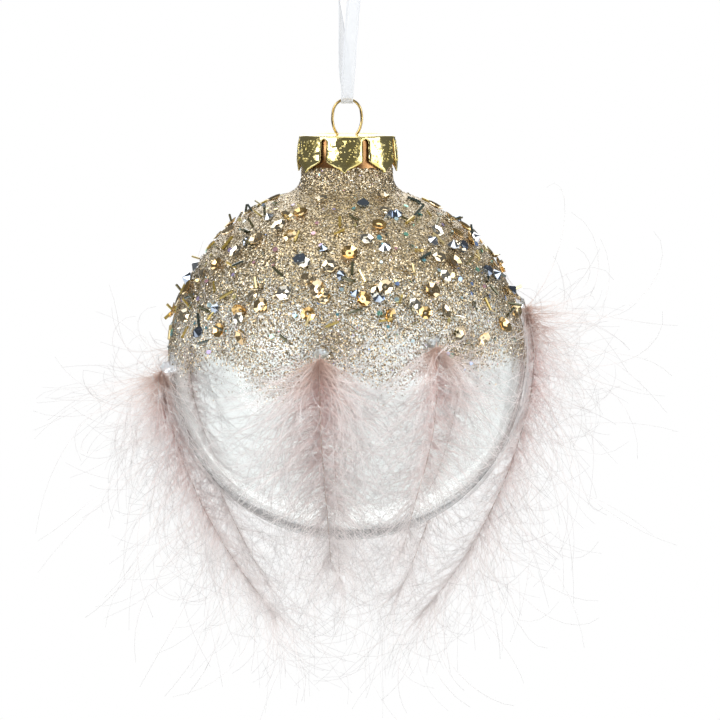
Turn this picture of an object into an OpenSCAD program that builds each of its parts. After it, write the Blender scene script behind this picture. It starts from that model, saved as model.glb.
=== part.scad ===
// Glass ball ornament on a ribbon loop. A clear blown ball carries a coat of glitter, sequins,
// stones and beads on its upper half, and seven glued feathers that hang past its base.
// A stamped crown cap sits over the neck, and a sprung wire hanger goes through the cap.
// The origin is the inside top of the ribbon loop, where a hook or a twig holds the ornament.
// +Z is up and the front of the ornament faces -Y. Azimuths start at the front and grow
// towards +X.

/* [Ball] */
// Outer diameter of the glass ball
ball_d = 80; // [60:1:120]
// Thickness of the glass
glass_t = 1; // [0.6:0.1:1.6]
// Outer diameter of the neck
neck_d = 20; // [16:0.5:26]
// Height of the neck's rim above the top of the ball
neck_rise = 10.7; // [9.5:0.1:14]
// Outer radius of the fillet between neck and ball
neck_fillet = 3; // [1.5:0.5:5]

/* [Cap] */
// Thickness of the cap's sheet metal
cap_t = 0.35; // [0.2:0.05:0.5]
// Clearance between the neck and the crown
cap_gap = 0.35; // [0.2:0.05:0.8]
// Height of the crown, from its top face to the petal tips
cap_h = 8.1; // [5.5:0.1:8.8]
// Number of petals
petals = 7; // [5:1:10]
// Width of the slot between two petals
petal_slot = 1.5; // [0.8:0.1:2.5]
// How far the petals flare outwards from top to tip
petal_flare = 0.6; // [0:0.1:2]
// Height of a petal's pointed end below its shoulders
petal_point = 2.2; // [0.5:0.1:3]

/* [Hanger] */
// Diameter of the hanger's wire
wire_d = 0.6; // [0.4:0.05:0.9]
// Outer width of the ring
ring_w = 7.2; // [6.4:0.1:10]
// Outer radius of the ring's top bend
ring_top_r = 2.7; // [2.4:0.1:3]
// Height from the ring's top wire down to its widest level
ring_up = 4.4; // [3.5:0.1:6]
// Distance between the centres of the two legs at the cap
leg_gap = 4.4; // [3:0.1:5]
// Length of straight leg below the cap's top face
leg_straight = 3.6; // [3:0.1:6]
// Depth of the leg tips below the cap's top face
leg_depth = 18; // [15:0.5:24]
// Clearance of the legs in the cap's holes
hole_gap = 0.15; // [0.1:0.05:0.4]

/* [Ribbon] */
// Width of the ribbon
ribbon_w = 3; // [2:0.1:3.6]
// Width of the ribbon where it is gathered around the ring
ribbon_fold_w = 2; // [1.2:0.1:2]
// Thickness of the ribbon
ribbon_t = 0.3; // [0.2:0.05:0.4]

/* [Trim] */
// Thickness of the glitter coat
coat_t = 0.4; // [0.2:0.05:0.6]
// Height of the coat's lower edge above the middle of the ball
coat_edge = 2.5; // [-5:0.5:10]
// Diameter of a cupped sequin
cup_d = 3.4; // [2.4:0.1:3.8]
// Width of a six-sided sequin between two corners
hex_d = 3.4; // [2.4:0.1:3.8]
// Diameter of a pointed stone
stone_d = 2.6; // [2:0.1:3.4]
// Length of a bugle bead
bead_l = 3; // [2:0.1:3.6]
// Diameter of a bugle bead
bead_d = 0.7; // [0.5:0.05:1]
// Width of an iridescent flake between two corners
flake_d = 1.4; // [0.8:0.1:2]
// Number of places in the band of trim
trim_sites = 230; // [60:10:230]

/* [Feathers] */
// Diameter of a quill at its root
quill_d = 1.1; // [0.8:0.1:1.6]
// Height of a quill's middle above the glass
quill_lift = 2; // [1.6:0.1:3]
// Gap between the inner face of a plume and the glass
plume_gap = 1; // [0.7:0.1:1.4]

/* [Hidden] */
$fn = 48;

// Heights, from the ribbon's fold down to the middle of the ball
ring_top = -31;
wire_r = wire_d / 2;
ring_r = ring_w / 2 - wire_r;
top_r = ring_top_r - wire_r;
ring_mid = ring_top - ring_up;
side_turn = 2 * atan((ring_r - top_r) / (ring_up - top_r));
side_r = top_r + (ring_up - top_r) / sin(side_turn);
foot_r = 0.6;
foot_turn = acos(1 - (ring_r - leg_gap / 2) / (side_r + foot_r));
ring_foot = ring_mid - (side_r + foot_r) * sin(foot_turn);
foot_gap = 0.14;
cap_top = ring_foot - foot_gap;
rim_gap = 0.05;
rim = cap_top - cap_t - rim_gap;
ball_r = ball_d / 2;
ball_mid = rim - ball_r - neck_rise;

// Neck fillet, in the ball's own frame: its middle is as far from the ball as from the neck
neck_r = neck_d / 2;
fillet_x = neck_r + neck_fillet;
fillet_z = sqrt(pow(ball_r + neck_fillet, 2) - pow(fillet_x, 2));

// Crown
cap_in = neck_r + cap_gap;
cap_r = cap_in + cap_t;
slot_top = 0.7;
petal_bulge = 0.3;
petal_turn = 3;

// Legs: each is straight, turns outwards through a bend and passes under the neck fillet
leg_x = leg_gap / 2;
bend_r = 1;
bend_z = cap_top - leg_straight;
leg_clear = 0.3;
fillet_reach = neck_fillet + glass_t + wire_r + leg_clear;
bend_dx = fillet_x - leg_x - bend_r;
bend_dz = bend_z - (ball_mid + fillet_z);
splay = acos((fillet_reach - bend_r) / norm([bend_dx, bend_dz])) - atan2(bend_dz, bend_dx);
bend_end = [leg_x + bend_r - bend_r * cos(splay), bend_z - bend_r * sin(splay)];
leg_length = (leg_depth - leg_straight - bend_r * sin(splay)) / cos(splay);
joint_gap = 0.04;
joint_share = 1.06;

// Ribbon route: x, y, z, the turn of its width about +Z, and its width
fold_r = 0.9;
fold_steps = 6;
strand_front = [
    [0.9, -0.5, 1.0, 0, ribbon_w], [1.7, -0.9, -1.5, 0, ribbon_w], [1.9, -1.1, -5, 0, ribbon_w],
    [1.5, -1.2, -9, 0, ribbon_w], [1.1, -1.2, -14, 0, ribbon_w], [0.7, -1.2, -19, 0, ribbon_w],
    [0.4, -1.1, -24, 0, ribbon_w], [0.1, -1.0, -28, 0, (ribbon_w + ribbon_fold_w) / 2]
];
strand_back = [
    [-0.2, 1.0, -28, 15, (ribbon_w + ribbon_fold_w) / 2], [-0.5, 1.1, -24, 30, ribbon_w],
    [-0.9, 1.2, -19, 50, ribbon_w], [-1.3, 1.2, -14, 70, ribbon_w], [-1.8, 1.1, -9, 85, ribbon_w],
    [-2.0, 0.9, -5, 80, ribbon_w], [-1.8, 0.7, -1.5, 60, ribbon_w], [-0.9, 0.4, 1.0, 30, ribbon_w]
];
fold = [
    for (i = [0:fold_steps]) let (a = 180 + 180 * i / fold_steps)
        [0, fold_r * cos(a), ring_top + fold_r * sin(a), 0, ribbon_fold_w]
];
route = concat(strand_front, fold, strand_back);

// Knot
knot_r = 1.7;
knot_half = 0.9;
knot_z = 2.4;
tail_l = 5;
tail_lean = 28;

// Trim band and the coat's uneven edge
skin_gap = 0.03;
coat_r = ball_r + skin_gap + coat_t;
trim_r = coat_r + 0.05;
coat_top = neck_r + neck_fillet + 1;
band_low = coat_edge + 4;
band_high = sqrt(pow(ball_r, 2) - pow(cap_r + petal_flare + 3, 2));
golden = 137.508;
trim_kinds = ["cup", "flake", "bead", "hex", "stone", "flake", "cup", "olive", "flake", "hex", "bead",
    "flake"];
jitter = rands(-1, 1, 3 * 230, 11);
hole_r = 0.4;
flake_t = 0.12;

// Feathers: azimuth, root latitude, latitude where it leaves the ball, heading at its tip
// (both from straight down, inwards), length past that latitude, half width, thickness
feathers = [
    [-8, 7, 30, 24, 26, 11.5, 12],
    [28, 10, 30, 26, 22, 11, 11],
    [92, 19, 12, 42, 56, 15, 24],
    [140, 10, 18, 38, 48, 14, 15],
    [185, 8, 22, 34, 44, 14, 17],
    [243, 5, 20, 35, 42, 13.5, 15],
    [279, -1, 14, 42, 54, 15, 23.5]
];
plume_rings = 13;
plume_sides = 12;
quill_rings = 16;
quill_sides = 8;
quill_tip_d = 0.3;
side_share = 0.29;
dab_r = quill_lift + 0.4;
root_bare = dab_r + 0.6;

// ---------------------------------------------------------------- helpers

// Closed skin through rings of points, each ring turning right-handed about the way along
module skin(rings) {
    n = len(rings[0]);
    last = len(rings) - 1;
    points = [for (ring = rings) each ring];
    sides = [
        for (i = [0:last - 1]) for (j = [0:n - 1])
            let (a = i * n + j, b = i * n + (j + 1) % n)
                each [[a, a + n, b + n], [a, b + n, b]]
    ];
    first_end = [for (j = [0:n - 1]) j];
    last_end = [for (j = [n - 1:-1:0]) last * n + j];
    polyhedron(points = points, faces = concat([first_end], sides, [last_end]));
}

function unit(v) = v / norm(v);

// Piece of bent wire in the XZ plane, about a middle at [x, z], between two angles.
// It stops a hair short of both angles, where a joint closes the gap to the next piece.
module wire_bend(mid, r, from, to) {
    short = joint_gap / r * 180 / PI;
    translate([mid[0], 0, mid[1]]) rotate([90, 0, 0]) rotate([0, 0, from + short])
        rotate_extrude(angle = to - from - 2 * short) translate([r, 0]) circle(wire_r);
}

// Joint between two pieces of the wire, a touch fatter than the wire
module wire_joint(place) {
    translate([place[0], 0, place[1]]) sphere(joint_share * wire_r);
}

// Puts a piece on the ball: azimuth and latitude in degrees, r from the ball's middle
module on_ball(azimuth, latitude, r) {
    translate([0, 0, ball_mid]) rotate([0, 0, azimuth - 90]) rotate([0, 90 - latitude, 0])
        translate([0, 0, r]) children();
}

// ---------------------------------------------------------------- ribbon

function along(points, i) =
    unit(points[min(i + 1, len(points) - 1)] - points[max(i - 1, 0)]);

module ribbon_loop() {
    mids = [for (p = route) [p[0], p[1], p[2]]];
    rings = [
        for (i = [0:len(route) - 1])
            let (
                t = along(mids, i),
                turn = route[i][3],
                flat = [cos(turn), sin(turn), 0],
                across = unit(flat - (flat * t) * t),
                through = cross(t, across),
                a = route[i][4] / 2,
                b = ribbon_t / 2
            )
            [
                for (c = [[1, -0.5], [1, 0.5], [0.8, 1], [-0.8, 1], [-1, 0.5], [-1, -0.5], [-0.8, -1],
                    [0.8, -1]])
                    mids[i] + a * c[0] * across + b * c[1] * through
            ]
    ];
    color([0.97, 0.97, 0.98]) skin(rings);
}

module ribbon_knot() {
    color([0.97, 0.97, 0.98]) {
        translate([0, 0, knot_z]) {
            rotate([0, 90, 0]) cylinder(r = knot_r, h = 2 * knot_half, center = true);
            for (side = [-1, 1]) translate([side * knot_half, 0, 0]) sphere(knot_r);
            for (side = [-1, 1]) rotate([0, side * tail_lean, side * 12])
                translate([-ribbon_w / 2, -ribbon_t / 2, 0]) cube([ribbon_w, ribbon_t, tail_l]);
        }
    }
}

// ---------------------------------------------------------------- hanger

module half_ring() {
    side_mid = [ring_r - side_r, ring_mid];
    foot_mid = side_mid + (side_r + foot_r) * [cos(foot_turn), -sin(foot_turn)];
    wire_joint(side_mid + side_r * [cos(side_turn), sin(side_turn)]);
    wire_bend(side_mid, side_r, -foot_turn, side_turn);
    wire_joint(side_mid + side_r * [cos(foot_turn), -sin(foot_turn)]);
    wire_bend(foot_mid, foot_r, 180 - foot_turn, 180);
    wire_joint([leg_x, ring_foot]);
    translate([leg_x, 0, bend_z]) cylinder(r = wire_r, h = ring_foot - joint_gap - bend_z);
}

module hanger_ring() {
    color("goldenrod") {
        wire_bend([0, ring_top - top_r], top_r, side_turn, 180 - side_turn);
        half_ring();
        mirror([1, 0, 0]) half_ring();
    }
}

module half_spring() {
    wire_bend([leg_x + bend_r, bend_z], bend_r, 180, 180 + splay);
    wire_joint(bend_end);
    translate([bend_end[0], 0, bend_end[1]]) rotate([0, 180 - splay, 0])
        translate([0, 0, joint_gap]) cylinder(r = wire_r, h = leg_length);
}

module spring_legs() {
    color("goldenrod") {
        half_spring();
        mirror([1, 0, 0]) half_spring();
    }
}

// ---------------------------------------------------------------- cap

// Outer radius of the crown at a share of its height, 0 at the top and 1 at the tips
function crown_r(share) = cap_r + petal_flare * share + petal_bulge * sin(180 * share);

module crown_shell() {
    steps = 8;
    outside = [for (i = [0:steps]) [crown_r(i / steps), -cap_h * i / steps]];
    inside = [for (i = [steps:-1:1]) [crown_r(i / steps) - cap_t, -cap_h * i / steps]];
    rotate_extrude() polygon(concat(outside, inside, [[cap_in, -cap_t], [0, -cap_t], [0, 0]]));
}

// Room between two petals: a round-topped slot that opens below the petals' shoulders
module petal_cut() {
    half = petal_slot / 2;
    reach = crown_r(1) * tan(180 / petals);
    shoulder = -(cap_h - petal_point);
    steps = 8;
    ogee = [
        for (i = [0:steps]) let (u = i / steps)
            [half + (reach - half) * u, shoulder - petal_point * (0.5 - 0.5 * cos(180 * u))]
    ];
    mirrored = [for (i = [steps:-1:0]) [-ogee[i][0], ogee[i][1]]];
    floor_z = -cap_h - 1;
    translate([0, -slot_top - half]) circle(half);
    translate([-half, shoulder - 0.01]) square([petal_slot, -slot_top - half - shoulder + 0.01]);
    polygon(concat(ogee, [[reach, floor_z], [-reach, floor_z]], mirrored));
}

module cap() {
    color("gold") translate([0, 0, cap_top]) difference() {
        crown_shell();
        for (i = [0:petals - 1]) rotate([0, 0, 360 * (i + 0.5) / petals - petal_turn])
            translate([0, -cap_r / 2, 0]) rotate([90, 0, 0])
                linear_extrude(height = cap_r) petal_cut();
        for (side = [-1, 1]) translate([side * leg_x, 0, -cap_t - 1])
            cylinder(r = wire_r + hole_gap, h = cap_t + 2);
    }
}

// ---------------------------------------------------------------- ball

// Half section of the solid ball with its neck, drawn inwards by an inset
module ball_section(inset) {
    r = ball_r - inset;
    bore = neck_r - inset;
    fillet = neck_fillet + inset;
    tangent = r / (ball_r + neck_fillet);
    intersection() {
        circle(r);
        translate([0, -ball_r]) square([ball_r, 2 * ball_r]);
    }
    square([bore, ball_r + neck_rise]);
    difference() {
        polygon([
            [0, 0], [fillet_x * tangent, fillet_z * tangent], [fillet_x, fillet_z], [bore, fillet_z],
            [0, fillet_z]
        ]);
        translate([fillet_x, fillet_z]) circle(fillet);
    }
}

module glass_ball() {
    color([0.85, 0.92, 0.92, 0.35]) translate([0, 0, ball_mid]) rotate_extrude() difference() {
        ball_section(0);
        union() {
            ball_section(glass_t);
            translate([0, ball_r]) square([neck_r - glass_t, neck_rise + 1]);
        }
    }
}

module glitter_coat() {
    bites = 9;
    color([0.8, 0.68, 0.45]) translate([0, 0, ball_mid]) difference() {
        rotate_extrude() intersection() {
            difference() {
                circle(coat_r);
                circle(ball_r + skin_gap);
            }
            translate([coat_top, coat_edge]) square(ball_d);
        }
        for (i = [0:bites - 1]) rotate([0, 0, 360 * (i + 0.3 * jitter[i]) / bites])
            translate([0, 0, coat_edge - 1]) rotate([0, 90, 0])
                cylinder(r = 3.5 + 1.5 * jitter[i + bites], h = ball_d);
    }
}

// ---------------------------------------------------------------- trim

function azimuth_gap(a, b) = abs((a - b + 900) % 360 - 180);

// Is this place free of every feather's root and plume?
function is_free(azimuth, height) =
    len([
        for (f = feathers)
            if (azimuth_gap(azimuth, f[0]) < 26 && height < (ball_r + quill_lift) * sin(f[1]) + 6) 1
    ]) == 0;

function site_height(i) = band_low + (band_high - band_low) * (i + 0.5) / trim_sites;
function site_azimuth(i) = (golden * i) % 360;

// Every free place of one kind of trim, with its number in the band
function sites(kind) = [
    for (i = [0:trim_sites - 1])
        if (trim_kinds[i % len(trim_kinds)] == kind && is_free(site_azimuth(i), site_height(i))) i
];

// Puts a piece at a place of the band, turned and tilted a little as a hand-glued piece is
module at_site(i, tilt) {
    on_ball(site_azimuth(i), asin(site_height(i) / ball_r), trim_r)
        rotate([tilt * jitter[3 * i], tilt * jitter[3 * i + 1], 180 * jitter[3 * i + 2]]) children();
}

module cup_sequins() {
    r = cup_d / 2;
    color("gold") for (i = sites("cup")) at_site(i, 3) translate([0, 0, 0.12]) rotate_extrude()
        polygon([[hole_r, 0], [r * 0.5, 0], [r, 0.5], [r, 0.65], [r * 0.5, 0.18], [hole_r, 0.18]]);
}

module hex_sequins() {
    color([0.9, 0.78, 0.5]) for (i = sites("hex")) at_site(i, 4) translate([0, 0, 0.15])
        difference() {
            cylinder(r = hex_d / 2, h = 0.2, $fn = 6);
            translate([0, 0, -1]) cylinder(r = hole_r, h = 3);
        }
}

module pointed_stones() {
    r = stone_d / 2;
    color([0.88, 0.88, 0.86]) for (i = sites("stone")) at_site(i, 4) translate([0, 0, 0.12]) {
        cylinder(r = r, h = 0.4);
        translate([0, 0, 0.4]) cylinder(r1 = r, r2 = r * 0.12, h = r * 1.1);
    }
}

// One bugle bead lying on the ball
module bead() {
    translate([0, 0, bead_d / 2 + 0.12]) rotate([0, 90, 0]) difference() {
        cylinder(d = bead_d, h = bead_l, center = true);
        cylinder(d = bead_d * 0.4, h = bead_l + 1, center = true);
    }
}

module gold_beads() {
    color([0.8, 0.6, 0.25]) for (i = sites("bead")) at_site(i, 3) bead();
}

module olive_beads() {
    color([0.28, 0.27, 0.14]) for (i = sites("olive")) at_site(i, 3) bead();
}

module iridescent_flakes() {
    color([0.45, 0.72, 0.78]) for (i = sites("flake")) at_site(i, 5) translate([0, 0, 0.1])
        cylinder(r = flake_d / 2, h = flake_t, $fn = 6);
}

// ---------------------------------------------------------------- feathers

// Where a feather's middle line is, in the ball's frame: radius, height and its heading.
// It follows the ball down to the latitude where it leaves, then bends evenly to its tip.
function arc_part(f) = (ball_r + quill_lift) * (f[1] + f[2]) * PI / 180;
function feather_length(f) = arc_part(f) + f[4];
function feather_at(f, s) =
    s < arc_part(f)
        ? let (latitude = f[1] - s / (ball_r + quill_lift) * 180 / PI)
            [(ball_r + quill_lift) * cos(latitude), (ball_r + quill_lift) * sin(latitude), -latitude]
        : let (
            bend = (f[3] - f[2]) / f[4],
            heading = f[2] + bend * (s - arc_part(f)),
            turn = bend * PI / 180
        ) [
            (ball_r + quill_lift) * cos(f[2]) - (cos(f[2]) - cos(heading)) / turn,
            -(ball_r + quill_lift) * sin(f[2]) - (sin(heading) - sin(f[2])) / turn,
            heading
        ];

// Section of a feather at a length along it: points given across and outwards
function feather_ring(f, s, section) =
    let (
        place = feather_at(f, s),
        a = f[0] - 90,
        out = [cos(a), sin(a), 0],
        across = [-sin(a), cos(a), 0],
        outwards = cos(place[2]) * out - sin(place[2]) * [0, 0, 1]
    )
    [
        for (p = section)
            [0, 0, ball_mid] + place[0] * out + place[1] * [0, 0, 1] + p[0] * across + p[1] * outwards
    ];

function fullness(share) = pow(sin(180 * (0.12 + 0.8 * share)), 0.6);

module plume(f) {
    rings = [
        for (i = [0:plume_rings - 1])
            let (
                share = i / (plume_rings - 1),
                s = root_bare + (feather_length(f) - root_bare) * share,
                half = min(f[5] * fullness(share), side_share * feather_at(f, s)[0]),
                thick = f[6] * fullness(share),
                inner = plume_gap - quill_lift
            )
            feather_ring(f, s, [
                for (j = [0:plume_sides - 1]) let (a = 180 * j / (plume_sides - 1))
                    [half * cos(a), inner + thick * sin(a)]
            ])
    ];
    color([0.97, 0.88, 0.88]) skin(rings);
}

module quill(f) {
    rings = [
        for (i = [0:quill_rings - 1])
            let (
                share = i / (quill_rings - 1),
                r = (quill_d * (1 - share) + quill_tip_d * share) / 2
            )
            feather_ring(f, 0.94 * feather_length(f) * share, [
                for (j = [0:quill_sides - 1]) let (a = 360 * j / quill_sides) r * [cos(a), sin(a)]
            ])
    ];
    color([0.83, 0.66, 0.6]) skin(rings);
}

// Drop of glue over each quill's root, resting on the coat or on bare glass
module glue_dabs() {
    color([0.75, 0.85, 0.95]) for (f = feathers) {
        root_height = ball_r * sin(f[1]);
        seat_r = root_height > coat_edge - dab_r ? coat_r + skin_gap : ball_r + skin_gap;
        on_ball(f[0], f[1], seat_r) difference() {
            sphere(dab_r);
            translate([0, 0, -dab_r]) cube(2 * dab_r + 0.01, center = true);
        }
    }
}

ribbon_loop();
ribbon_knot();
hanger_ring();
spring_legs();
cap();
glass_ball();
glitter_coat();
cup_sequins();
hex_sequins();
pointed_stones();
gold_beads();
olive_beads();
iridescent_flakes();
glue_dabs();
quill(feathers[0]);  // quill_front
quill(feathers[1]);  // quill_front_right
quill(feathers[2]);  // quill_right
quill(feathers[3]);  // quill_back_right
quill(feathers[4]);  // quill_back
quill(feathers[5]);  // quill_back_left
quill(feathers[6]);  // quill_left
plume(feathers[0]);  // plume_front
plume(feathers[1]);  // plume_front_right
plume(feathers[2]);  // plume_right
plume(feathers[3]);  // plume_back_right
plume(feathers[4]);  // plume_back
plume(feathers[5]);  // plume_back_left
plume(feathers[6]);  // plume_left
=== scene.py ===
import math

import bmesh
import bpy
import numpy as np
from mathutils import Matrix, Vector, noise


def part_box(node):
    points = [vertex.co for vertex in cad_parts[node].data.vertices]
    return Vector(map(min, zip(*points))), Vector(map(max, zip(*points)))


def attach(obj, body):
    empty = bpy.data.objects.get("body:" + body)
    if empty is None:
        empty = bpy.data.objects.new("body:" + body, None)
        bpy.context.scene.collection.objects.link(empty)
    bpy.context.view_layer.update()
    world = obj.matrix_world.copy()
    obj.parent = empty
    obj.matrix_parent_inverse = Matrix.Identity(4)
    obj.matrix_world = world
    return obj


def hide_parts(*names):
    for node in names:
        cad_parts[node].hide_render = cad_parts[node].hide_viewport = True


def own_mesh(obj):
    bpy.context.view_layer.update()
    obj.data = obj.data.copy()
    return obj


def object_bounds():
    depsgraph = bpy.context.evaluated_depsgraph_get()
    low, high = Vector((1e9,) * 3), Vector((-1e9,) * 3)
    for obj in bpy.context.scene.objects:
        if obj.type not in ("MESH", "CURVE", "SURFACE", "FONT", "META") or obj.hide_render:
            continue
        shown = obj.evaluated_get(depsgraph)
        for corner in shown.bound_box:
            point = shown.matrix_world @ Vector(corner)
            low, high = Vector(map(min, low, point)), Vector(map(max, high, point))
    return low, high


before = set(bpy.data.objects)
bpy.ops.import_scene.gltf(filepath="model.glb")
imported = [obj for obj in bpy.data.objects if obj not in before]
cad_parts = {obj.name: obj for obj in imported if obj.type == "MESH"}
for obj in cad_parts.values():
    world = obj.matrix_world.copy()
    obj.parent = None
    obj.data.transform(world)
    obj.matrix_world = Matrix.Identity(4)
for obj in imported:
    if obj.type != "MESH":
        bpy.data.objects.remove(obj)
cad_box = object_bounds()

# Glass ball ornament on a ribbon loop. Lengths are written in millimetres times MM.

MM = 0.001
UP = np.array([0.0, 0.0, 1.0])

# ---- sizes from the frame

ball_low, ball_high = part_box("glass_ball")
cap_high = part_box("cap")[1]
ring_low, ring_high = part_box("hanger_ring")
legs_low, legs_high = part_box("spring_legs")
knot_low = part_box("ribbon_knot")[0]

BALL_R = round((ball_high.x - ball_low.x) / 2 / MM) * MM
BALL_MID = np.array([0.0, 0.0, ball_low.z + BALL_R])
GLASS_T = 1 * MM
FOOT_T = 2.0 * MM
NECK_R = 10 * MM
NECK_RISE = ball_high.z - BALL_MID[2]
NECK_FILLET = 3 * MM
COAT_FILLET = 4.6 * MM
CAP_TOP = cap_high.z
CAP_H = 8.2 * MM
CAP_R = 10.8 * MM
CAP_T = 0.35 * MM
PETALS = 7
PETAL_TURN = -3
WIRE_R = 0.3 * MM


# ---- helpers


def in_scene(name, data):
    """A new object in the scene, at the origin."""
    thing = bpy.data.objects.new(name, data)
    bpy.context.scene.collection.objects.link(thing)
    return thing


def new_piece(name, mesh, body, material):
    """An object at the origin that rides on a body, with its material."""
    piece = in_scene(name, mesh)
    mesh.materials.append(material)
    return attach(piece, body)


def mesh_of(name, bm, smooth=True):
    """Finishes a bmesh into a mesh with its faces outwards."""
    mesh = bpy.data.meshes.new(name)
    bmesh.ops.recalc_face_normals(bm, faces=bm.faces)
    bm.to_mesh(mesh)
    bm.free()
    mesh.polygons.foreach_set("use_smooth", [smooth] * len(mesh.polygons))
    return mesh


def triangles_of(bm):
    """A small shape's points and triangles, as arrays, and frees it."""
    bmesh.ops.triangulate(bm, faces=bm.faces)
    bm.verts.index_update()
    points = np.array([v.co for v in bm.verts])
    faces = np.array([[v.index for v in f.verts] for f in bm.faces])
    bm.free()
    return points, faces


def repeated(name, faces, points, tints=None, smooth=False):
    """One mesh of many copies of a small shape: points holds the copies' own vertices."""
    copies, size = points.shape[:2]
    all_faces = (faces[None] + size * np.arange(copies)[:, None, None]).reshape(-1, 3)
    mesh = bpy.data.meshes.new(name)
    mesh.from_pydata(points.reshape(-1, 3), [], all_faces)
    mesh.polygons.foreach_set("use_smooth", [smooth] * len(mesh.polygons))
    if tints is not None:
        colours = np.ones((copies, size, 4))
        colours[..., :3] = tints if tints.ndim == 3 else tints[:, None]
        layer = mesh.color_attributes.new(name="tint", type="FLOAT_COLOR", domain="POINT")
        layer.data.foreach_set("color", colours.ravel())
    return mesh


def cone_shape(sides, top, depth, lift=0.0):
    """A small closed cone or prism of unit radius, as arrays."""
    bm = bmesh.new()
    bmesh.ops.create_cone(bm, cap_ends=True, segments=sides, radius1=1, radius2=top, depth=depth)
    bmesh.ops.translate(bm, verts=bm.verts, vec=(0, 0, lift))
    return triangles_of(bm)


def tube_shape(sides, rings):
    """A closed upright tube of unit radius, from z 0 to z 1."""
    bm = bmesh.new()
    bmesh.ops.create_cone(bm, cap_ends=True, segments=sides, radius1=1, radius2=1, depth=1)
    bmesh.ops.translate(bm, verts=bm.verts, vec=(0, 0, 0.5))
    uprights = [e for e in bm.edges if abs(e.verts[0].co.z - e.verts[1].co.z) > 0.5]
    bmesh.ops.subdivide_edges(bm, edges=uprights, cuts=rings - 2, use_grid_fill=True)
    return triangles_of(bm)


def spin_round(bm, outline, closed, steps, axis=(0, 0, 1)):
    """Spins an outline of (x, z) points about an axis through the origin."""
    verts = [bm.verts.new((x, 0, z)) for x, z in outline]
    ends = verts[1:] + verts[:1] if closed else verts[1:]
    edges = [bm.edges.new(pair) for pair in zip(verts, ends)]
    bmesh.ops.spin(bm, geom=verts + edges, cent=(0, 0, 0), axis=axis, angle=2 * math.pi,
                   steps=steps, use_merge=True)


def unit(v):
    return v / np.maximum(np.linalg.norm(v, axis=-1, keepdims=True), 1e-12)


def bent(shape, lines, radii, across=None, flatness=1.0):
    """Copies of an upright tube, each bent along its own line of points.

    lines is (copies, rings, 3) and radii (copies, rings). across fixes the way that the
    section's x looks, and flatness is its thickness over its width.
    """
    points, faces = shape
    along = unit(np.gradient(lines, axis=1))
    if across is None:
        hint = np.where(np.abs(along[..., 2:3]) > 0.9, [1.0, 0.0, 0.0], UP)
        side = unit(np.cross(hint, along))
    else:
        side = unit(across - (across * along).sum(-1, keepdims=True) * along)
    other = np.cross(along, side)
    ring = np.rint(points[:, 2] * (lines.shape[1] - 1)).astype(int)
    x, y = points[:, 0, None], points[:, 1, None] * flatness
    width = radii[:, ring, None]
    return faces, lines[:, ring] + width * (x * side[:, ring] + y * other[:, ring]), ring


def fillet_middle(fillet):
    """Middle of the round between ball and neck: its radius from the axis and its height."""
    middle = NECK_R + fillet
    return middle, math.sqrt((BALL_R + fillet) ** 2 - middle**2)


def on_ball(azimuth, height, lift, tilt, draws):
    """Frames (copies, 3, 3) and places on the ball's outside, outwards along their third axis.

    Azimuth is in radians from the front towards +X. Above the ball the places follow the
    fillet and the neck. tilt is how far, in radians, the frames lean at random.
    """
    height = np.asarray(height)
    fillet_x, fillet_z = fillet_middle(COAT_FILLET)
    z_meet = fillet_z * BALL_R / (BALL_R + COAT_FILLET)
    sphere = np.sqrt(np.maximum(BALL_R**2 - height**2, 1e-9))
    dip = np.sqrt(np.maximum(COAT_FILLET**2 - (height - fillet_z) ** 2, 0))
    radius = np.where(height < z_meet, sphere, np.where(height < fillet_z, fillet_x - dip, NECK_R))
    slope_r = np.where(height < z_meet, sphere, np.where(height < fillet_z, dip, 1.0))
    slope_z = np.where(height < z_meet, height, np.where(height < fillet_z, fillet_z - height, 0.0))
    ray = np.stack([np.sin(azimuth), -np.cos(azimuth), 0 * azimuth], -1)
    out = unit(ray * slope_r[:, None] + UP * slope_z[:, None])
    places = BALL_MID + radius[:, None] * ray + height[:, None] * UP + lift[:, None] * out
    lean = draws.normal(size=out.shape) * tilt
    normal = unit(out + lean)
    spin = unit(np.cross(normal, draws.normal(size=out.shape)))
    return np.stack([spin, np.cross(normal, spin), normal], -1), places


def placed(shape, frames, places, sizes):
    """A small shape's points at many frames and places, with a size each."""
    points, faces = shape
    scaled = points[None] * sizes[:, None, None]
    return faces, np.einsum("nij,nvj->nvi", frames, scaled) + places[:, None]


def smooth_line(points, steps):
    """A smooth line through given points."""
    points = np.asarray(points, float)
    ends = np.vstack([2 * points[0] - points[1], points, 2 * points[-1] - points[-2]])
    t = np.linspace(0, len(points) - 1, steps)
    i = np.minimum(t.astype(int), len(points) - 2)
    f = (t - i)[:, None]
    a, b, c, d = ends[i], ends[i + 1], ends[i + 2], ends[i + 3]
    return 0.5 * (2 * b + (c - a) * f + (2 * a - 5 * b + 4 * c - d) * f**2
                  + (3 * b - a - 3 * c + d) * f**3)


# ---- materials

# The glitter film is bare up to one height above the ball's middle, and fullest from another
FILM_BARE = 9 * MM
FILM_FULL = 26 * MM
FILM_COVER = 0.95


def set_inputs(node, **values):
    """Sets a node's plain inputs, with _ for each space in a name."""
    for name, value in values.items():
        node.inputs[name.replace("_", " ")].default_value = value


def finish(name, colour, metallic, roughness, **more):
    """A Principled material and its node tools."""
    material = bpy.data.materials.new(name)
    material.use_nodes = True
    nodes, links = material.node_tree.nodes, material.node_tree.links
    surface = nodes["Principled BSDF"]
    set_inputs(surface, Base_Color=(*colour, 1), Metallic=metallic, Roughness=roughness, **more)
    return material, nodes, links, surface


NOISE = "ShaderNodeTexNoise"
CELLS = "ShaderNodeTexVoronoi"


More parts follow.
